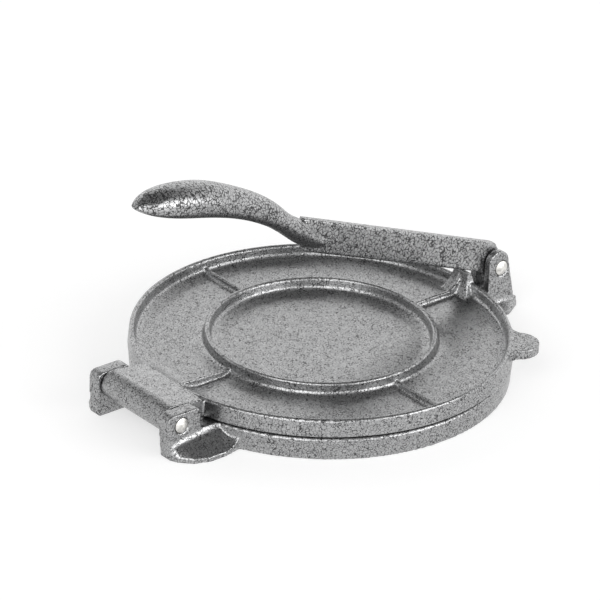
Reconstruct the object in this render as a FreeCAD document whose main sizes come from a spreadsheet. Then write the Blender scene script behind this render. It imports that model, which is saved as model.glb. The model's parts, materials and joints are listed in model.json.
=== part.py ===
import FreeCAD, Part

import math
import os

import Sketcher

# A hand press of two round cast plates.  The lid plate turns on a hinge pin between two horns of
# the base plate, and a lever pinned between two ears opposite the hinge bears down on a lug of the lid.
#
# Frame: millimetres, +Z up.  The origin is on the pressing axis, on the plane that the base stands
# on.  The hinge is at -X and the lever bracket at +X.  The lever is modelled in its own frame, with
# its origin at the pivot and its grip towards -X, and is laid down on the lid by its Placement.

doc = FreeCAD.newDocument("plate_press")
sheet = doc.addObject("Spreadsheet::Sheet", "Dimensions")

FLAT = FreeCAD.Rotation()
ALONG_XZ = FreeCAD.Rotation(FreeCAD.Vector(1, 0, 0), 90)
ALONG_YZ = FreeCAD.Rotation(FreeCAD.Vector(1, 1, 1), 120)


class Size:
    """A length in mm, or a factor, with the spreadsheet formula that gives it."""

    def __init__(self, number, formula):
        self.number = number
        self.formula = formula

    def __add__(self, other):
        other = as_size(other)
        return Size(self.number + other.number, "(%s + %s)" % (self.formula, other.formula))

    def __sub__(self, other):
        other = as_size(other)
        return Size(self.number - other.number, "(%s - %s)" % (self.formula, other.formula))

    def __mul__(self, other):
        other = as_size(other)
        return Size(self.number * other.number, "(%s * %s)" % (self.formula, other.formula))

    def __neg__(self):
        return Size(-self.number, "(-1 * %s)" % self.formula)


def as_size(value):
    if isinstance(value, Size):
        return value
    return Size(float(value), repr(float(value)))


def square_root(size):
    return Size(math.sqrt(size.number), "sqrt(%s)" % size.formula)


def reciprocal(size):
    return Size(1 / size.number, "(1 / %s)" % size.formula)


def tangent(angle):
    return Size(math.tan(math.radians(angle.number)), "tan(%s * 1 deg)" % angle.formula)


def secant(angle):
    return Size(1 / math.cos(math.radians(angle.number)), "(1 / cos(%s * 1 deg))" % angle.formula)


def dimension(alias, number, note):
    """Add one driving dimension to the sheet and return it."""
    dimension.row += 1
    row = dimension.row
    sheet.set("A%d" % row, note)
    sheet.set("B%d" % row, repr(number))
    sheet.setAlias("B%d" % row, alias)
    return Size(number, "Dimensions." + alias)


dimension.row = 0


# ---------------------------------------------------------------- driving dimensions

# Plates
plate_radius = dimension("plate_radius", 99.6, "base plate, radius at the top edge")
foot_radius = dimension("foot_radius", 98.8, "base plate, radius where it stands")
base_top = dimension("base_top", 12.1, "height of the lower pressing face")
base_web = dimension("base_web", 5.6, "thickness of the base plate")
skirt_wall = dimension("skirt_wall", 6.0, "thickness of the wall round the base plate")
edge_round = dimension("edge_round", 1.3, "rounding of the cast edges")
rib_wall = dimension("rib_wall", 5.0, "thickness of the ribs under the base plate")
press_gap = dimension("press_gap", 0.9, "gap between the pressing faces when closed")
lid_radius = dimension("lid_radius", 100.0, "lid plate, radius at its lower edge")
lid_draft = dimension("lid_draft", 0.7, "how far the rim of the lid leans in")
lid_web = dimension("lid_web", 2.4, "thickness of the lid plate")
crest = dimension("crest", 22.6, "height of the rim and of the ring")
rim_wall = dimension("rim_wall", 2.7, "width of the top of the rim")
rim_foot = dimension("rim_foot", 0.5, "how much wider the rim is at its foot")
foot_round = dimension("foot_round", 2.4, "hollow rounding at the foot of rim and ring")
foot_spread = dimension("foot_spread", 6.0, "how far the floor of the lid swells up towards that foot")
foot_swell = dimension("foot_swell", 0.7, "height of that swell")
ring_radius = dimension("ring_radius", 59.0, "middle of the top of the ring")
ring_wall = dimension("ring_wall", 2.8, "width of the top of the ring")
ring_foot = dimension("ring_foot", 0.4, "how much the ring widens on each side at its foot")
spoke_width = dimension("spoke_width", 4.4, "width of a spoke at its foot")
spoke_crown = dimension("spoke_crown", 1.5, "width of a spoke at its top")
spoke_rise = dimension("spoke_rise", 3.0, "height of a spoke over the lid plate")
spoke_tilt = dimension("spoke_tilt", 3.0, "climb of the spoke that runs up to the hinge, degrees")

# Hinge
hinge_x = dimension("hinge_x", -116.6, "hinge axis, X")
hinge_z = dimension("hinge_z", 17.3, "hinge axis, Z")
pin_radius = dimension("pin_radius", 3.95, "radius of both pins")
bore_radius = dimension("bore_radius", 4.0, "radius of the bores that the pins pass through")
pin_dome = dimension("pin_dome", 1.2, "how far the domed ends of the pins stand proud")
sink_radius = dimension("sink_radius", 4.7, "radius of the countersink round a pin end")
sink_depth = dimension("sink_depth", 0.8, "depth of that countersink")
barrel_radius = dimension("barrel_radius", 7.6, "radius of the lid's hinge barrel")
barrel_half = dimension("barrel_half", 24.5, "half the length of that barrel")
horn_inner = dimension("horn_inner", 25.0, "inner face of a horn, distance from the middle")
horn_wall = dimension("horn_wall", 7.5, "thickness of a horn")
horn_top = dimension("horn_top", 24.3, "height of the horns")
horn_back = dimension("horn_back", -125.5, "far face of the horns, X")
horn_front = dimension("horn_front", -104.8, "near face of the horns, X")
ramp_start = dimension("ramp_start", -80.0, "where the lid plate starts to rise to the hinge, X")
ramp_round = dimension("ramp_round", 30.0, "hollow rounding of that rise")
swell_half = dimension("swell_half", 60.0, "half the width of that rise")

# Lever bracket
pivot_x = dimension("pivot_x", 118.1, "lever pivot, X")
pivot_z = dimension("pivot_z", 25.4, "lever pivot, Z")
ear_inner = dimension("ear_inner", 3.5, "inner face of a bracket ear, distance from the middle")
ear_wall = dimension("ear_wall", 3.9, "thickness of a bracket ear")
ear_back = dimension("ear_back", 109.0, "face of the ears towards the lid, X")
ear_round = dimension("ear_round", 6.8, "radius of the top of an ear")
ear_shoulder = dimension("ear_shoulder", 28.9, "height where that rounding starts")
ear_foot = dimension("ear_foot", 127.3, "far face of the ears at the foot, X")

# Dished feet beside the horns and the ears
foot_rim = dimension("foot_rim", 3.0, "height of the outer wall of a dished foot")
foot_fillet = dimension("foot_fillet", 2.4, "hollow where the dished slope meets a wall")
disc_slope = dimension("disc_slope", 6.0, "height where the slope meets the base plate")

# Lever
lever_angle = dimension("lever_angle", 21.75, "slope of the lever when it rests on the lid, degrees")
bar_half = dimension("bar_half", 2.8, "half the width of the lever's bar")
bar_above = dimension("bar_above", 11.7, "top of the bar above the pivot")
bar_below = dimension("bar_below", 5.0, "underside of the bar below the pivot")
bar_length = dimension("bar_length", 146.0, "pivot to the end of the bar")
bar_round = dimension("bar_round", 0.9, "rounding of the bar's edges")
root_radius = dimension("root_radius", 9.2, "radius of the lever round its pivot")
root_tuck = dimension("root_tuck", 4.0, "hollow between the bar's underside and that round")
root_ease = dimension("root_ease", 17.0, "arc between the bar's top and that round")
lug_half = dimension("lug_half", 5.6, "half the width of the top of the lug under the lever")
lug_spread = dimension("lug_spread", 4.6, "how much the lug widens on each side to its foot")
lug_back = dimension("lug_back", 95.2, "edge of the lug's top towards the ring, X")
fin_height = dimension("fin_height", 26.0, "height of the fin that runs up the lug")
lug_gap = dimension("lug_gap", 0.5, "gap between the lug and the lever at rest")

# Lift tab
tab_angle = dimension("tab_angle", -44.2, "direction of the lift tab, degrees from +X")
tab_reach = dimension("tab_reach", 112.9, "distance from the middle to the tip of the tab")
tab_radius = dimension("tab_radius", 10.4, "radius of the rounded tip")
tab_wall = dimension("tab_wall", 5.0, "thickness of the tab")
tab_flare = dimension("tab_flare", 8.0, "radius of the hollow where the tab meets the rim")


doc.recompute()


# ---------------------------------------------------------------- construction helpers

def bind(feature, name, size):
    """Tie one property of a feature to the sheet."""
    feature.setExpression(name, as_size(size).formula)


def arc_middle(start, end, radius, side):
    """The middle of the minor arc from start to end; side +1 bulges to the left of the way."""
    chord = end - start
    half = chord.Length / 2
    rise = abs(radius) - math.sqrt(max(radius * radius - half * half, 0.0))
    left = FreeCAD.Vector(-chord.y, chord.x, 0).normalize()
    return (start + end) * 0.5 + left * (side * rise)


def outline(name, rotation, points, body=None):
    """A closed sketch through the points, each (across, up) or (across, up, radius, side).

    A point with a radius is reached from the point before it along an arc of that radius.
    In a body the sketch lies on the body's own XZ plane.
    """
    if body is None:
        sketch = doc.addObject("Sketcher::SketchObject", name)
        sketch.Placement = FreeCAD.Placement(FreeCAD.Vector(), rotation)
    else:
        sketch = body.newObject("Sketcher::SketchObject", name)
        plane = [item for item in body.Origin.OriginFeatures if item.Role == "XZ_Plane"][0]
        sketch.AttachmentSupport = [(plane, "")]
        sketch.MapMode = "FlatFace"
    sizes = [[as_size(value) for value in point[:3]] for point in points]
    corners = [FreeCAD.Vector(size[0].number, size[1].number, 0) for size in sizes]
    count = len(points)
    for index in range(count):
        start = corners[index - 1]
        end = corners[index]
        if len(points[index]) == 2:
            sketch.addGeometry(Part.LineSegment(start, end), False)
        else:
            middle = arc_middle(start, end, sizes[index][2].number, points[index][3])
            sketch.addGeometry(Part.Arc(start, middle, end), False)
    end_of = [end_vertex(sketch, index, corners[index]) for index in range(count)]
    for index in range(count):
        following = (index + 1) % count
        sketch.addConstraint(Sketcher.Constraint(
            "Coincident", index, end_of[index], following, 3 - end_of[following]))
        for kind, size in (("DistanceX", sizes[index][0]), ("DistanceY", sizes[index][1])):
            place = sketch.addConstraint(Sketcher.Constraint(
                kind, -1, 1, index, end_of[index], size.number))
            bind(sketch, "Constraints[%d]" % place, size)
        if len(points[index]) > 2:
            place = sketch.addConstraint(Sketcher.Constraint("Radius", index, sizes[index][2].number))
            bind(sketch, "Constraints[%d]" % place, sizes[index][2])
    return sketch


def end_vertex(sketch, index, corner):
    """Which end of edge number index lies at the corner: 1 or 2."""
    if (sketch.getPoint(index, 2) - corner).Length < (sketch.getPoint(index, 1) - corner).Length:
        return 2
    return 1


def extruded(name, sketch, length, offset=0):
    """A prism of the sketch along its normal, or both ways from it when offset is None."""
    feature = doc.addObject("Part::Extrusion", name)
    feature.Base = sketch
    feature.DirMode = "Normal"
    feature.Solid = True
    bind(feature, "LengthFwd", length)
    if offset is None:
        feature.Symmetric = True
        return feature
    normal = sketch.Placement.Rotation.multVec(FreeCAD.Vector(0, 0, 1))
    for axis in ("x", "y", "z"):
        part = getattr(normal, axis)
        if abs(part) > 0.5:
            bind(sketch, "Placement.Base." + axis, as_size(offset) * round(part))
    return feature


def revolved(name, sketch):
    feature = doc.addObject("Part::Revolution", name)
    feature.Source = sketch
    feature.Axis = FreeCAD.Vector(0, 0, 1)
    feature.Angle = 360
    feature.Solid = True
    return feature


def box(name, corner, lengths):
    feature = doc.addObject("Part::Box", name)
    for side, length in zip(("Length", "Width", "Height"), lengths):
        bind(feature, side, length)
    for axis, place in zip(("x", "y", "z"), corner):
        bind(feature, "Placement.Base." + axis, place)
    return feature


def cross_cylinder(name, radius, length, x, z, start=None):
    """A cylinder along Y; centred on the middle plane unless its start is given."""
    feature = doc.addObject("Part::Cylinder", name)
    feature.Placement = FreeCAD.Placement(
        FreeCAD.Vector(), FreeCAD.Rotation(FreeCAD.Vector(1, 0, 0), -90))
    bind(feature, "Radius", radius)
    bind(feature, "Height", length)
    bind(feature, "Placement.Base.x", x)
    bind(feature, "Placement.Base.y", -(as_size(length) * 0.5) if start is None else start)
    bind(feature, "Placement.Base.z", z)
    return feature


def turned(feature, angle, axis):
    """Turn a feature about an axis through the origin by an angle of the sheet."""
    feature.Placement = FreeCAD.Placement(FreeCAD.Vector(), FreeCAD.Rotation(axis, angle.number))
    bind(feature, "Placement.Rotation.Angle", angle)


def fused(name, shapes):
    feature = doc.addObject("Part::MultiFuse", name)
    feature.Shapes = shapes
    return feature


def cut(name, base, tool):
    feature = doc.addObject("Part::Cut", name)
    feature.Base = base
    feature.Tool = tool
    return feature


def common(name, shapes):
    feature = doc.addObject("Part::MultiCommon", name)
    feature.Shapes = shapes
    return feature


def mirrored(name, source):
    """The source seen in the XZ plane."""
    feature = doc.addObject("Part::Mirroring", name)
    feature.Source = source
    feature.Normal = FreeCAD.Vector(0, 1, 0)
    return feature


# ---------------------------------------------------------------- base plate

# Sections of the dished feet: distance from the pressing axis along X, how far the outline stands
# out from the face of the horn or ear, and the height of the slope at that face.
HINGE_FOOT = [
    (124.2, 1.0, 6.2),
    (121.8, 5.2, 7.0),
    (116.6, 10.2, 7.8),
    (109.0, 13.1, 8.4),
    (99.0, 13.4, 9.4),
    (86.0, 11.0, 9.6),
]
EAR_FOOT = [
    (129.4, 0.4, 3.4),
    (127.3, 1.4, 4.4),
    (124.3, 3.3, 5.0),
    (119.9, 5.7, 5.4),
    (112.0, 7.6, 5.8),
    (95.0, 7.6, 6.0),
]


def dished_foot(name, outward, wall_y, stations):
    """The dished foot beside a horn or an ear, on the -Y side; outward is -1 or +1 along X."""
    sections = []
    for number, station in enumerate(stations, 1):
        along, reach, slope = [
            dimension("%s_%s_%d" % (name, what, number), value, "%s section %d, %s" % (name, number, what))
            for what, value in zip(("place", "reach", "slope"), station)]
        root = -(wall_y - 1.2)
        section = outline("%s_section_%d" % (name, number), ALONG_YZ, [
            (root, 0),
            (-(wall_y + reach), 0),
            (-(wall_y + reach), foot_rim * 0.9),
            (-(wall_y + reach * 0.9), foot_rim),
            (-(wall_y + reach * 0.12), slope),
            (-wall_y + 0.2, slope + foot_fillet),
            (root, slope + foot_fillet),
        ])
        bind(section, "Placement.Base.x", along * outward)
        sections.append(section)
    foot = doc.addObject("Part::Loft", name)
    foot.Sections = sections
    foot.Solid = True
    foot.Ruled = True
    return foot


def foot_block(name, outward, wall_y, stations):
    """The plan of a dished foot as a straight block, which bounds the slope from the plate."""
    near_wall = -(wall_y - 1.2)
    points = [(along * outward, -(wall_y + reach)) for along, reach, _ in stations]
    return extruded(name, outline(name + "_plan", FLAT, [
        (stations[0][0] * outward, near_wall)] + points + [(stations[-1][0] * outward, near_wall)]),
        base_top)


def disc_ramp():
    """The slope from the wall of the plate down to the dished feet."""
    return revolved("disc_ramp", outline("disc_ramp_profile", ALONG_XZ, [
        (foot_radius - 2.0, 0),
        (foot_radius + 9.0, 0),
        (foot_radius + 9.0, foot_rim - 0.8),
        (foot_radius + foot_fillet * 0.6, disc_slope, 16.0, 1),
        (foot_radius + 0.3, disc_slope + foot_fillet, foot_fillet * 1.5, 1),
        (foot_radius - 2.0, disc_slope + foot_fillet),
    ]))


def base_plate():
    underside = base_top - base_web
    plate = revolved("plate", outline("plate_profile", ALONG_XZ, [
        (0, underside),
        (foot_radius - skirt_wall, underside),
        (foot_radius - skirt_wall, 0),
        (foot_radius, 0),
        (plate_radius, base_top - edge_round),
        (plate_radius - edge_round, base_top, edge_round, -1),
        (0, base_top),
    ]))
    rib_span = (foot_radius - skirt_wall) * 2 + 2.0
    rib_height = underside + 1.0
    ribs = [
        box("rib_across", (-(rib_wall * 0.5), -(rib_span * 0.5), 0),
            (rib_wall, rib_span, rib_height)),
        box("rib_along", (-(rib_span * 0.5), -(rib_wall * 0.5), 0),
            (rib_span, rib_wall, rib_height)),
    ]

    corner = as_size(3.5)
    toe = as_size(2.4)
    rooted = -(foot_radius - 5.8)
    horn = extruded("horn", outline("horn_profile", ALONG_XZ, [
        (rooted, 0),
        (rooted, base_top),
        (horn_front + toe, base_top),
        (horn_front, base_top + toe, toe, 1),
        (horn_front, horn_top - corner),
        (horn_front - corner, horn_top, corner, -1),
        (horn_back + corner, horn_top),
        (horn_back, horn_top - corner, corner, -1),
        (horn_back, base_top),
        (horn_back + 1.2, 0),
    ]), horn_wall, horn_inner)

    ear = extruded("ear", outline("ear_profile", ALONG_XZ, [
        (foot_radius - 5.0, 0),
        (ear_foot - 1.6, 0),
        (ear_foot, foot_rim + 3.8),
        (ear_foot - 0.5, foot_rim + 6.2),
        (ear_back + ear_round * 2, ear_shoulder),
        (ear_back + ear_round, ear_shoulder + ear_round, ear_round, -1),
        (ear_back, ear_shoulder, ear_round, -1),
        (ear_back, base_top + toe),
        (ear_back - toe, base_top, toe, 1),
        (foot_radius - 5.0, base_top),
    ]), ear_wall, ear_inner)
    bridge = box("bridge", (foot_radius - 5.0, -(ear_inner + 1.0), 0),
                 (ear_foot - foot_radius, (ear_inner + 1.0) * 2, base_top - 1.0))

    hinge_face = horn_inner + horn_wall
    pivot_face = ear_inner + ear_wall
    hinge_foot = dished_foot("hinge_foot", -1, hinge_face, HINGE_FOOT)
    ear_side_foot = dished_foot("ear_foot", 1, pivot_face, EAR_FOOT)
    ramps = common("disc_ramps", [disc_ramp(), fused("foot_blocks", [
        foot_block("hinge_block", -1, hinge_face, HINGE_FOOT),
        foot_block("ear_block", 1, pivot_face, EAR_FOOT)])])

    half = fused("side_parts", [horn, ear, hinge_foot, ear_side_foot, ramps])
    casting = fused("base_casting", [plate, bridge] + ribs + [half, mirrored("other_side", half)])

    tools = [
        cross_cylinder("hinge_bore", bore_radius, hinge_face * 2 + 2.0, hinge_x, hinge_z),
        cross_cylinder("pivot_bore", bore_radius, pivot_face * 2 + 2.0, pivot_x, pivot_z),
    ]
    for label, face, x, z in (("hinge", hinge_face, hinge_x, hinge_z),
                              ("pivot", pivot_face, pivot_x, pivot_z)):
        tools.append(cross_cylinder(label + "_sink_near", sink_radius, sink_depth + 1.0, x, z,
                                    -(face + 1.0)))
        tools.append(cross_cylinder(label + "_sink_far", sink_radius, sink_depth + 1.0, x, z,
                                    face - sink_depth))
    return cut("base_plate", casting, fused("base_bores", tools))


# ---------------------------------------------------------------- lid plate

def lid_plate():
    lid_bottom = base_top + press_gap
    floor = lid_bottom + lid_web
    rim_outer = lid_radius - lid_draft
    rim_inner = rim_outer - rim_wall
    wall_foot = rim_inner - rim_foot
    ring_outer = ring_radius + ring_wall * 0.5
    ring_inner = ring_radius - ring_wall * 0.5
    swell_top = floor + foot_swell
    swell_run = foot_spread - foot_round
    swell_arc = (swell_run * swell_run + foot_swell * foot_swell) * reciprocal(foot_swell * 1.9)
    plate = revolved("lid_disc", outline("lid_profile", ALONG_XZ, [
        (0, lid_bottom),
        (lid_radius - 0.6, lid_bottom),
        (lid_radius, lid_bottom + 0.6, 0.6, -1),
        (rim_outer, crest - edge_round),
        (rim_outer - edge_round, crest, edge_round, -1),
        (rim_inner + edge_round * 0.8, crest),
        (rim_inner, crest - edge_round * 0.8, edge_round * 0.8, -1),
        (wall_foot + 0.2, swell_top + foot_round),
        (wall_foot - foot_round, swell_top, foot_round * 1.15, 1),
        (wall_foot - foot_spread, floor, swell_arc, 1),
        (ring_outer + ring_foot + foot_spread, floor),
        (ring_outer + ring_foot + foot_round, swell_top, swell_arc, 1),
        (ring_outer + ring_foot - 0.2, swell_top + foot_round, foot_round * 1.15, 1),
        (ring_outer, crest - edge_round),
        (ring_outer - edge_round, crest, edge_round, -1),
        (ring_inner + edge_round, crest),
        (ring_inner, crest - edge_round, edge_round, -1),
        (ring_inner - ring_foot + 0.2, swell_top + foot_round),
        (ring_inner - ring_foot - foot_round, swell_top, foot_round * 1.15, 1),
        (ring_inner - ring_foot - foot_spread, floor, swell_arc, 1),
        (0, floor),
    ]))

    flank = spoke_rise * 1.15
    spokes = []
    for turn in (0, 90, 270):
        spoke = extruded("spoke_%d" % turn, outline("spoke_%d_profile" % turn, ALONG_YZ, [
            (-(spoke_width * 0.5), floor - 1.0),
            (spoke_width * 0.5, floor - 1.0),
            (spoke_width * 0.5, floor),
            (spoke_crown * 0.5 + 0.3, floor + spoke_rise - 0.4, flank, 1),
            (spoke_crown * 0.5 - 0.1, floor + spoke_rise),
            (-(spoke_crown * 0.5 - 0.1), floor + spoke_rise),
            (-(spoke_crown * 0.5 + 0.3), floor + spoke_rise - 0.4),
            (-(spoke_width * 0.5), floor, flank, 1),
        ]), rim_inner - ring_outer, ring_outer)
        spoke.Placement = FreeCAD.Placement(
            FreeCAD.Vector(), FreeCAD.Rotation(FreeCAD.Vector(0, 0, 1), turn))
        spokes.append(spoke)
    climbing = extruded("climbing_spoke", outline("climbing_spoke_profile", ALONG_XZ, [
        (-ring_outer, floor - 1.0),
        (-ring_outer, floor + spoke_rise),
        (-rim_inner, floor + spoke_rise + (rim_inner - ring_outer) * tangent(spoke_tilt)),
        (-rim_inner, floor - 1.0),
    ]), spoke_crown * 1.5, None)
    spokes.append(climbing)

    barrel_top = hinge_z + barrel_radius
    swell_edge = rim_outer - 1.5
    swell_rise = crest - floor + 0.9
    swell_radius = (swell_half * swell_half + swell_rise * swell_rise) * reciprocal(swell_rise * 2)
    swell = common("swell", [
        extruded("swell_length", outline("swell_profile", ALONG_XZ, [
            (ramp_start, lid_bottom),
            (ramp_start, floor - 0.2),
            (-swell_edge, crest, ramp_round, 1),
            (-swell_edge, lid_bottom),
        ]), swell_half * 2, None),
        extruded("swell_width", outline("swell_section", ALONG_YZ, [
            (swell_half, floor - 0.5),
            (-swell_half, floor - 0.5, swell_radius, -1),
        ]), rim_outer * 2, -rim_outer),
        revolved("swell_bound", outline("swell_bound_profile", ALONG_XZ, [
            (0, lid_bottom),
            (swell_edge, lid_bottom),
            (swell_edge, crest + 1.0),
            (0, crest + 1.0),
        ])),
    ])
    tongue = extruded("tongue", outline("tongue_profile", ALONG_XZ, [
        (-(rim_outer - 5.0), lid_bottom),
        (-(rim_outer - 5.0), floor),
        (-(rim_outer - 1.5), crest),
        (hinge_x + 2.6, barrel_top - 0.3),
        (hinge_x, hinge_z),
        (hinge_x + 3.5, hinge_z - barrel_radius * 0.9),
        (-(lid_radius + 1.6), lid_bottom),
    ]), barrel_half * 2, None)
    barrel = cross_cylinder("barrel", barrel_radius, barrel_half * 2, hinge_x, hinge_z)

    rise = tangent(lever_angle)
    under_lever = pivot_z - (bar_below + lug_gap) * secant(lever_angle)
    lug_crown = rim_outer - 0.9
    lug_side = extruded("lug_side", outline("lug_profile", ALONG_XZ, [
        (rim_outer, lid_bottom + 2.0),
        (rim_outer, crest - 0.4),
        (lug_crown, under_lever + (pivot_x - lug_crown) * rise),
        (lug_back, under_lever + (pivot_x - lug_back) * rise),
        (lug_back - lug_spread, floor, 24.0, 1),
        (lug_back - lug_spread, lid_bottom + 2.0),
    ]), (lug_half + lug_spread) * 2, None)
    lug_front = extruded("lug_front", outline("lug_face", ALONG_YZ, [
        (-(lug_half + lug_spread), lid_bottom + 2.0),
        (lug_half + lug_spread, lid_bottom + 2.0),
        (lug_half + lug_spread, floor),
        (lug_half, crest + 7.0, 24.0, 1),
        (-lug_half, crest + 7.0),
        (-(lug_half + lug_spread), floor, 24.0, 1),
    ]), rim_outer)
    lug = common("lug", [lug_side, lug_front])
    fin_top = lug_back - 0.4
    fin = extruded("lug_fin", outline("lug_fin_profile", ALONG_XZ, [
        (lug_back + 1.0, lid_bottom + 2.0),
        (lug_back + 1.0, fin_height),
        (fin_top, fin_height),
        (fin_top - 7.6, floor + spoke_rise, 14.0, 1),
        (fin_top - 12.0, floor + spoke_rise - 0.1),
        (fin_top - 12.0, lid_bottom + 2.0),
    ]), spoke_crown + 0.8, None)

    tip_centre = tab_reach - tab_radius
    flare_side = tab_radius + tab_flare * 0.8
    tab = extruded("tab", outline("tab_plan", FLAT, [
        (lid_radius - 2.4, -flare_side),
        (tip_centre + 0.6, -tab_radius, tab_flare, 1),
        (tab_reach, 0, tab_radius, -1),
        (tip_centre + 0.6, tab_radius, tab_radius, -1),
        (lid_radius - 2.4, flare_side, tab_flare, 1),
    ]), tab_wall, crest - tab_wall - 0.1)
    turned(tab, tab_angle, FreeCAD.Vector(0, 0, 1))

    casting = fused("lid_casting", [plate, swell, tongue, barrel, lug, fin, tab] + spokes)
    bore = cross_cylinder("barrel_bore", bore_radius, barrel_half * 2 + 2.0, hinge_x, hinge_z)
    return cut("lid_plate", casting, bore)


# ---------------------------------------------------------------- lever

# Sections of the grip, the first one inside the bar: distance from the pivot, height of the middle
# over the pivot, half height and half width.
GRIP = [
    (129.0, 0.4, 3.2, 3.25),
    (137.0, 1.2, 4.6, 4.7),
    (144.0, 3.1, 6.1, 6.2),
    (155.0, 5.9, 6.0, 7.2),
    (171.0, 10.8, 7.0, 8.2),
    (187.0, 13.7, 7.9, 9.2),
    (203.0, 14.7, 8.6, 10.2),
    (219.0, 14.3, 9.5, 11.0),
    (235.0, 12.3, 9.4, 11.2),
    (247.0, 10.2, 8.1, 10.0),
    (256.0, 8.2, 5.6, 7.4),
    (262.2, 6.2, 1.8, 2.6),
]


def lever_handle():
    body = doc.addObject("PartDesign::Body", "lever_bar")
    tuck_x = square_root((root_radius + root_tuck) * (root_radius + root_tuck)
                         - (bar_below + root_tuck) * (bar_below + root_tuck))
    tuck_share = root_radius * reciprocal(root_radius + root_tuck)
    ease_x = square_root((root_ease * 2 - root_radius - bar_above) * (bar_above - root_radius))
    ease_share = root_radius * reciprocal(root_ease - root_radius)
    profile = outline("bar_profile", ALONG_XZ, [
        (-(bar_length - 5.0), -(bar_below + 0.7)),
        (-tuck_x, -bar_below),
        (-(tuck_x * tuck_share), -((bar_below + root_tuck) * tuck_share), root_tuck, -1),
        (0, -root_radius, root_radius, 1),
        (root_radius, 0, root_radius, 1),
        (ease_x * ease_share, (root_ease - bar_above) * ease_share, root_radius, 1),
        (-ease_x, bar_above, root_ease, 1),
        (-(bar_length + 2.0), bar_above),
    ], body)
    pad = body.newObject("PartDesign::Pad", "bar")
    pad.Profile = profile
    bind(pad, "Length", bar_half * 2)
    pad.Midplane = True
    doc.recompute()
    rounding = body.newObject("PartDesign::Fillet", "bar_edges")
    rounding.Base = (pad, ["Edge%d" % number for number, edge in enumerate(pad.Shape.Edges, 1)
                           if edge.BoundBox.YLength < 0.01])
    bind(rounding, "Radius", bar_round)

    sections = []
    for number, station in enumerate(GRIP, 1):
        along, middle, half_height, half_width = [
            dimension("grip_%s_%d" % (what, number), value, "grip section %d, %s" % (number, what))
            for what, value in zip(("place", "middle", "height", "width"), station)]
        section = doc.addObject("Part::Ellipse", "grip_section_%d" % number)
        section.Placement = FreeCAD.Placement(FreeCAD.Vector(), ALONG_YZ)
        bind(section, "MajorRadius", half_width)
        bind(section, "MinorRadius", half_height)
        bind(section, "Placement.Base.x", -along)
        bind(section, "Placement.Base.z", middle)
        sections.append(section)
    grip = doc.addObject("Part::Loft", "grip")
    grip.Sections = sections
    grip.Solid = True

    casting = fused("lever_casting", [body, grip])
    bore = cross_cylinder("lever_bore", bore_radius, bar_half * 2 + 2.0, 0, 0)
    lever = cut("lever_handle", casting, bore)
    turned(lever, lever_angle, FreeCAD.Vector(0, 1, 0))
    bind(lever, "Placement.Base.x", pivot_x)
    bind(lever, "Placement.Base.z", pivot_z)
    return lever


# ---------------------------------------------------------------- pins

def pin(name, half_length, x, z):
    """A plain pin along Y with domed ends."""
    dome_radius = (pin_radius * pin_radius + pin_dome * pin_dome) * reciprocal(pin_dome * 2)
    feature = revolved(name, outline(name + "_profile", ALONG_XZ, [
        (0, -(half_length + pin_dome)),
        (pin_radius, -half_length, dome_radius, -1),
        (pin_radius, half_length),
        (0, half_length + pin_dome, dome_radius, -1),
    ]))
    feature.Placement = FreeCAD.Placement(
        FreeCAD.Vector(), FreeCAD.Rotation(FreeCAD.Vector(1, 0, 0), 90))
    bind(feature, "Placement.Base.x", x)
    bind(feature, "Placement.Base.z", z)
    return feature


# ---------------------------------------------------------------- build and write

pieces = [
    base_plate(),
    lid_plate(),
    lever_handle(),
    pin("hinge_pin", horn_inner + horn_wall - sink_depth * 0.5, hinge_x, hinge_z),
    pin("lever_pin", ear_inner + ear_wall - sink_depth * 0.5, pivot_x, pivot_z),
]
doc.recompute()

broken = [item.Name for item in doc.Objects if "Invalid" in item.State or "Error" in item.State]
if broken:
    raise RuntimeError("these did not build: " + ", ".join(broken))

os.makedirs("parts", exist_ok=True)
for piece in pieces:
    if piece.Shape.isNull() or not piece.Shape.isValid():
        raise RuntimeError("%s has no valid shape" % piece.Label)
    if len(piece.Shape.Solids) != 1:
        raise RuntimeError("%s is %d solids" % (piece.Label, len(piece.Shape.Solids)))
    piece.Shape.exportStep("parts/%s.step" % piece.Label)
    print("%-14s %9.0f mm3  %s" % (piece.Label, piece.Shape.Volume, piece.Shape.BoundBox))
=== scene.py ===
import json
import math

import bmesh
import bpy
import numpy as np
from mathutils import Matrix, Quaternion, Vector


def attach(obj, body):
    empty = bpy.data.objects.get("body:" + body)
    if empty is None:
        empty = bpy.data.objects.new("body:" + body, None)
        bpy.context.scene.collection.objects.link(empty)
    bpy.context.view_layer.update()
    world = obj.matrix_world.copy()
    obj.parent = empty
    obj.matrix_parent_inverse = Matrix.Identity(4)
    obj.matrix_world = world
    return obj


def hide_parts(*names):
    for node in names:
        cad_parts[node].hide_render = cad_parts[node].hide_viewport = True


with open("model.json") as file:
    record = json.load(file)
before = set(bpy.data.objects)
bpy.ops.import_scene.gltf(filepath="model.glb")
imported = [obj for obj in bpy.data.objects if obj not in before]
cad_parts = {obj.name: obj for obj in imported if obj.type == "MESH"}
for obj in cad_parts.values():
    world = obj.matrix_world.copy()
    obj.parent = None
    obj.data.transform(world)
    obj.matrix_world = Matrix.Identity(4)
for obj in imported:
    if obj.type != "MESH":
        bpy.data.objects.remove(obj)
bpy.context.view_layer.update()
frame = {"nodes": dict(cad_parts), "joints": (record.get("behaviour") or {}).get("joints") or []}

scene = bpy.context.scene
collection = scene.collection
MM = 0.001

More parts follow.
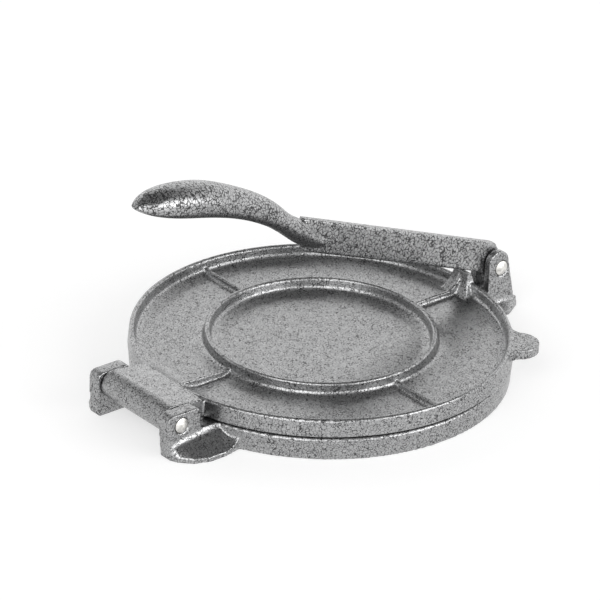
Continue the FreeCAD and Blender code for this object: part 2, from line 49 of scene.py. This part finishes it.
# The grip of the lever, whose underside is squared off here
LEVER_PIVOT = Vector(next(
    joint["pos_m"] for joint in frame["joints"] if joint["name"] == "lever_pivot"))
LEVER_SLOPE = 21.75                 # degrees, at rest
GRIP_START = 150 * MM               # from the pivot to where the squaring begins
GRIP_EASE = 20 * MM                 # length over which it comes in
GRIP_SQUARENESS = 3.6               # 2 is an oval underside; more is squarer
GRIP_DEPTH = 0.78                   # depth of the squared underside, as a share of the oval's
SLICE = 2 * MM                      # distance between the slices that the grip is measured in

# Grey hammered paint
VEIN = (0.012, 0.012, 0.013, 1)
DARK_FLAKE = (0.36, 0.362, 0.365)
BRIGHT_FLAKE = (0.44, 0.442, 0.445)
PIMPLE = 3.4 * MM

# Lights of the room: azimuth and elevation of the middle, spread (degrees) and strength
ROOM = [
    (-66.0, 15.0, 34.0, 3.9),    # window at the camera's right
    (-150.0, 30.0, 36.0, 2.8),   # window behind the camera's left shoulder
    (-108.0, 6.0, 34.0, 1.3),    # low reflector just right of the camera
    (172.0, 14.0, 50.0, 0.35),   # pale wall at the left
]
BACKDROP = 1.15                  # strength of the pale backdrop beyond the press
BACKDROP_TOP = (0.80, 0.48)      # heights on the unit sphere where it ends and where it is full
BACKDROP_SIDE = (-0.2, 0.5)      # the same along the camera's view: none behind the camera
AMBIENT = 0.22                   # the dim rest of the room


# ---------------------------------------------------------------- camera

AIM = Vector((0.0401, 0.0651, 0.0))  # the point of the table in the middle of the view
DISTANCE = 2.6613                    # metres from there
AZIMUTH = -40.22                     # degrees from the front, which is -Y
ELEVATION = 27.157
ROLL = 1.896
LENS = 300.0                         # mm

azimuth = math.radians(AZIMUTH)
elevation = math.radians(ELEVATION)
backwards = Vector((math.sin(azimuth) * math.cos(elevation),
                    -math.cos(azimuth) * math.cos(elevation),
                    math.sin(elevation)))
camera_data = bpy.data.cameras.new("camera")
camera_data.lens = LENS
camera_data.sensor_width = 36.0
camera_data.clip_start = 0.1
camera_data.clip_end = 50.0
camera = bpy.data.objects.new("camera", camera_data)
camera.rotation_mode = "QUATERNION"
camera.location = AIM + backwards * DISTANCE
camera.rotation_quaternion = (-backwards).to_track_quat("-Z", "Y") @ Quaternion(
    (0, 0, 1), math.radians(ROLL))
collection.objects.link(camera)
scene.camera = camera


# ---------------------------------------------------------------- node helpers

class Nodes:
    """A short way to write a material's node tree."""

    def __init__(self, tree):
        self.tree = tree
        tree.nodes.clear()

    def add(self, kind, **settings):
        """A node; settings are properties, and inputs are values or sockets to link."""
        node = self.tree.nodes.new(kind)
        inputs = settings.pop("inputs", {})
        for name, value in settings.items():
            setattr(node, name, value)
        for key, value in inputs.items():
            if isinstance(value, bpy.types.NodeSocket):
                self.tree.links.new(value, node.inputs[key])
            else:
                node.inputs[key].default_value = value
        return node

    def math(self, operation, *values):
        node = self.add("ShaderNodeMath", operation=operation, inputs=dict(enumerate(values)))
        return node.outputs[0]

    def ramp(self, factor, *stops):
        """A blend between two stops, each a place and a colour or a plain number."""
        node = self.add("ShaderNodeValToRGB", inputs={0: factor})
        for element, (place, colour) in zip(node.color_ramp.elements, stops):
            element.position = place
            element.color = (*colour, 1) if isinstance(colour, tuple) else (colour, colour, colour, 1)
        return node.outputs[0]

    def noise(self, place, size, detail, roughness, output="Fac"):
        """Noise with features of about the given size; its output is Fac or Color."""
        node = self.add("ShaderNodeTexNoise", inputs={
            "Vector": place, "Scale": 1 / size, "Detail": detail, "Roughness": roughness})
        return node.outputs[output]

    def finish(self, shader):
        self.add("ShaderNodeOutputMaterial", inputs={0: shader})


def hammered_paint(name, cell, vein, depth):
    """Grey hammered paint: bright metallic flakes, parted by dark glossy veins of uneven width.

    The cell is the size of a flake, the vein its share of a cell, and the depth the bump's strength.
    """
    material = bpy.data.materials.new(name)
    material.use_nodes = True
    nodes = Nodes(material.node_tree)
    place = nodes.add("ShaderNodeTexCoord").outputs["Object"]

    # The veins wander, so the place is bent by noise before the cells are laid out.
    wander = nodes.noise(place, cell * 1.6, 2.0, 0.6, output="Color")
    centred = nodes.add("ShaderNodeVectorMath", operation="SUBTRACT",
                        inputs={0: wander, 1: (0.5, 0.5, 0.5)}).outputs[0]
    bend = nodes.add("ShaderNodeVectorMath", operation="SCALE",
                     inputs={0: centred, "Scale": cell * 1.9}).outputs[0]
    bent = nodes.add("ShaderNodeVectorMath", operation="ADD", inputs={0: place, 1: bend}).outputs[0]
    cells = nodes.add("ShaderNodeTexVoronoi", feature="DISTANCE_TO_EDGE",
                      inputs={"Vector": bent, "Scale": 1 / cell}).outputs["Distance"]
    flake = nodes.add("ShaderNodeTexVoronoi", feature="F1",
                      inputs={"Vector": bent, "Scale": 1 / cell}).outputs["Color"]

    # The veins are wide where the patches are high and thin where they are low.
    patches = nodes.noise(place, cell * 2.4, 1.0, 0.5)
    width = nodes.math("MULTIPLY_ADD", nodes.math("SUBTRACT", patches, 0.5), vein * 2.0, vein)
    width = nodes.math("MAXIMUM", width, vein * 0.5)
    open_cell = nodes.add("ShaderNodeMapRange", interpolation_type="SMOOTHSTEP", inputs={
        "Value": nodes.math("DIVIDE", cells, width), "From Min": 0.35, "From Max": 1.0}).outputs[0]

    tone = nodes.add("ShaderNodeSeparateColor", inputs={0: flake}).outputs[0]
    body = nodes.ramp(tone, (0.0, DARK_FLAKE), (1.0, BRIGHT_FLAKE))
    colour = nodes.add("ShaderNodeMix", data_type="RGBA", inputs={
        0: open_cell, 6: VEIN, 7: body}).outputs[2]
    roughness = nodes.ramp(open_cell, (0.0, 0.24), (1.0, 0.31))

    pimples = nodes.noise(place, PIMPLE, 3.0, 0.55)
    height = nodes.math("MULTIPLY_ADD", nodes.math("SMOOTH_MIN", cells, 0.3, 0.2), 0.30,
                        nodes.math("MULTIPLY", pimples, 0.12))
    bump = nodes.add("ShaderNodeBump", inputs={
        "Strength": depth, "Distance": cell * 0.5, "Height": height}).outputs[0]
    shader = nodes.add("ShaderNodeBsdfPrincipled", inputs={
        "Base Color": colour, "Metallic": nodes.math("POWER", open_cell, 0.5), "Roughness": roughness,
        "IOR": 1.5, "Normal": bump})
    nodes.finish(shader.outputs[0])
    return material


def bright_steel(name):
    """Plain steel rod, cut and peened: fine scratches and a few dull spots."""
    material = bpy.data.materials.new(name)
    material.use_nodes = True
    nodes = Nodes(material.node_tree)
    place = nodes.add("ShaderNodeTexCoord").outputs["Object"]
    scratches = nodes.noise(place, 0.35 * MM, 4.0, 0.7)
    spots = nodes.noise(place, 2.0 * MM, 2.0, 0.5)
    colour = nodes.ramp(spots, (0.30, (0.50, 0.49, 0.47)), (0.62, (0.80, 0.79, 0.76)))
    roughness = nodes.ramp(scratches, (0.3, 0.28), (0.7, 0.46))
    bump = nodes.add("ShaderNodeBump", inputs={
        "Strength": 0.25, "Distance": 0.1 * MM, "Height": scratches}).outputs[0]
    shader = nodes.add("ShaderNodeBsdfPrincipled", inputs={
        "Base Color": colour, "Metallic": 1.0, "Roughness": roughness, "Normal": bump})
    nodes.finish(shader.outputs[0])
    return material


# ---------------------------------------------------------------- castings

def vertex_places(mesh):
    place = np.empty(len(mesh.vertices) * 3)
    mesh.vertices.foreach_get("co", place)
    return place.reshape(-1, 3)


def applied(piece):
    """The piece's mesh with its modifiers applied, which are then removed."""
    graph = bpy.context.evaluated_depsgraph_get()
    mesh = bpy.data.meshes.new_from_object(piece.evaluated_get(graph))
    piece.modifiers.clear()
    piece.data = mesh
    return mesh


def soften(mesh, hollows, edges, passes):
    """Round a casting: each pass fills the hollows and wears the edges by those shares."""
    count = len(mesh.vertices)
    place = vertex_places(mesh)
    ends = np.empty(len(mesh.edges) * 2, np.int64)
    mesh.edges.foreach_get("vertices", ends)
    one, other = ends.reshape(-1, 2).T
    corners = np.empty(len(mesh.loops), np.int64)
    mesh.loops.foreach_get("vertex_index", corners)
    quads = corners.reshape(-1, 4)
    degree = np.bincount(ends, minlength=count)[:, None]
    for _ in range(passes):
        total = np.empty((count, 3))
        normal = np.empty((count, 3))
        across = np.cross(place[quads[:, 2]] - place[quads[:, 0]],
                          place[quads[:, 3]] - place[quads[:, 1]])
        for axis in range(3):
            total[:, axis] = (np.bincount(one, place[other, axis], count)
                              + np.bincount(other, place[one, axis], count))
            normal[:, axis] = sum(
                np.bincount(quads[:, corner], across[:, axis], count) for corner in range(4))
        step = total / degree - place
        hollow = np.einsum("ij,ij->i", step, normal) > 0
        place += step * np.where(hollow, hollows, edges)[:, None]
    mesh.vertices.foreach_set("co", place.ravel())
    mesh.update()


def square_grip(mesh):
    """Square off the underside of the lever's grip, which is oval in CAD.

    In each slice across the grip the lower half of the oval is swollen towards a square with
    round corners, then made shallower.  What is lifted also slides a little towards the tip.
    """
    place = vertex_places(mesh)
    slope = math.radians(LEVER_SLOPE)
    out = LEVER_PIVOT.x - place[:, 0]
    up = place[:, 2] - LEVER_PIVOT.z
    along = out * math.cos(slope) + up * math.sin(slope)
    height = up * math.cos(slope) - out * math.sin(slope)
    slices = np.arange(GRIP_START - 2 * SLICE, along.max(), SLICE)
    top, bottom, side = np.array([
        (height[near].max(), height[near].min(), abs(place[near, 1]).max())
        for near in (abs(along - middle) < SLICE * 0.75 for middle in slices)]).T
    middle = np.interp(along, slices, (top + bottom) / 2)
    half = np.interp(along, slices, (top - bottom) / 2)
    wide = np.interp(along, slices, side)
    drop = np.clip((middle - height) / half, 0, None)
    across = abs(place[:, 1]) / wide
    power = GRIP_SQUARENESS
    swell = np.sqrt(drop ** 2 + across ** 2) / np.maximum(
        (drop ** power + across ** power) ** (1 / power), 1e-6)
    share = np.clip((along - GRIP_START) / GRIP_EASE, 0, 1) * (drop > 0)
    wider = across * (1 + (swell - 1) * share)
    deeper = drop * (1 + (swell * GRIP_DEPTH - 1) * share)
    lift = (drop - deeper) * half
    place[:, 0] -= lift * math.sin(slope)
    place[:, 1] = np.sign(place[:, 1]) * wider * wide
    place[:, 2] += lift * math.cos(slope)
    mesh.vertices.foreach_set("co", place.ravel())
    mesh.update()


def casting(name, node, body, material, voxel, hollows, edges, passes, keep):
    """A soft-edged cast skin in place of one CAD node, with a share of its faces kept."""
    piece = bpy.data.objects.new(name, frame["nodes"][node].data.copy())
    collection.objects.link(piece)
    piece.data.materials.clear()
    shell = bmesh.new()
    shell.from_mesh(piece.data)
    bmesh.ops.remove_doubles(shell, verts=shell.verts, dist=0.001 * MM)
    shell.to_mesh(piece.data)
    shell.free()

    remesh = piece.modifiers.new("skin", "REMESH")
    remesh.mode = "VOXEL"
    remesh.voxel_size = voxel
    soften(applied(piece), hollows, edges, passes)
    thin = piece.modifiers.new("thin", "DECIMATE")
    thin.ratio = keep
    mesh = applied(piece)
    mesh.name = name
    mesh.materials.append(material)
    mesh.shade_smooth()
    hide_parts(node)
    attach(piece, body)
    return piece


plate_paint = hammered_paint("plate_paint", cell=1.5 * MM, vein=0.085, depth=0.22)
lever_paint = hammered_paint("lever_paint", cell=2.0 * MM, vein=0.125, depth=0.3)
steel = bright_steel("pin_steel")

casting("base_casting", "base_plate", "base", plate_paint,
        voxel=0.6 * MM, hollows=0.4, edges=0.05, passes=6, keep=0.4)
casting("lid_casting", "lid_plate", "lid", plate_paint,
        voxel=0.5 * MM, hollows=0.15, edges=0.05, passes=5, keep=0.28)
lever = casting("lever_casting", "lever_handle", "lever", lever_paint,
                voxel=0.5 * MM, hollows=0.4, edges=0.08, passes=8, keep=0.8)
square_grip(lever.data)

for node in ("hinge_pin", "lever_pin"):
    pin = frame["nodes"][node]
    pin.data.materials.clear()
    pin.data.materials.append(steel)


# ---------------------------------------------------------------- floor

FLOOR_HALF = 6.0
floor_mesh = bpy.data.meshes.new("floor")
floor_mesh.from_pydata([(-FLOOR_HALF, -FLOOR_HALF, 0), (FLOOR_HALF, -FLOOR_HALF, 0),
                        (FLOOR_HALF, FLOOR_HALF, 0), (-FLOOR_HALF, FLOOR_HALF, 0)], [], [(0, 1, 2, 3)])
floor = bpy.data.objects.new("floor", floor_mesh)
floor.location.z = -0.2 * MM
collection.objects.link(floor)
floor_material = bpy.data.materials.new("floor")
floor_material.use_nodes = True
floor_nodes = Nodes(floor_material.node_tree)
floor_nodes.finish(floor_nodes.add("ShaderNodeBsdfPrincipled", inputs={
    "Base Color": (0.5, 0.5, 0.5, 1), "Roughness": 0.8, "Specular IOR Level": 0.0,
    "Emission Color": (1, 1, 1, 1), "Emission Strength": 0.58}).outputs[0])
floor_mesh.materials.append(floor_material)


# ---------------------------------------------------------------- light

# The studio round the press: a pale backdrop beyond it, the lights of the room, and a dim ceiling.
world = bpy.data.worlds.new("studio")
scene.world = world
world.use_nodes = True
world_nodes = Nodes(world.node_tree)
towards = world_nodes.add("ShaderNodeTexCoord").outputs["Generated"]


def direction(azimuth_deg, elevation_deg):
    turn = math.radians(azimuth_deg)
    lift = math.radians(elevation_deg)
    return (math.cos(turn) * math.cos(lift), math.sin(turn) * math.cos(lift), math.sin(lift))


def along(axis):
    return world_nodes.add("ShaderNodeVectorMath", operation="DOT_PRODUCT",
                           inputs={0: towards, 1: axis}).outputs["Value"]


def fade(value, dark, bright, strength=1.0):
    """Smoothly from nothing where the value is dark to the strength where it is bright."""
    return world_nodes.add("ShaderNodeMapRange", interpolation_type="SMOOTHSTEP", inputs={
        "Value": value, "From Min": dark, "From Max": bright, "To Min": 0.0,
        "To Max": strength}).outputs[0]


light = world_nodes.math(
    "MULTIPLY_ADD", fade(along((0, 0, 1)), *BACKDROP_TOP, BACKDROP),
    fade(along(direction(AZIMUTH + 90.0, 0.0)), *BACKDROP_SIDE), AMBIENT)
for azimuth_deg, elevation_deg, spread_deg, strength in ROOM:
    light = world_nodes.math("ADD", light, fade(
        along(direction(azimuth_deg, elevation_deg)), math.cos(math.radians(spread_deg)), 1.0, strength))
world_nodes.add("ShaderNodeOutputWorld", inputs={0: world_nodes.add(
    "ShaderNodeBackground", inputs={0: (1, 1, 1, 1), 1: light}).outputs[0]})

scene.view_settings.view_transform = "Standard"
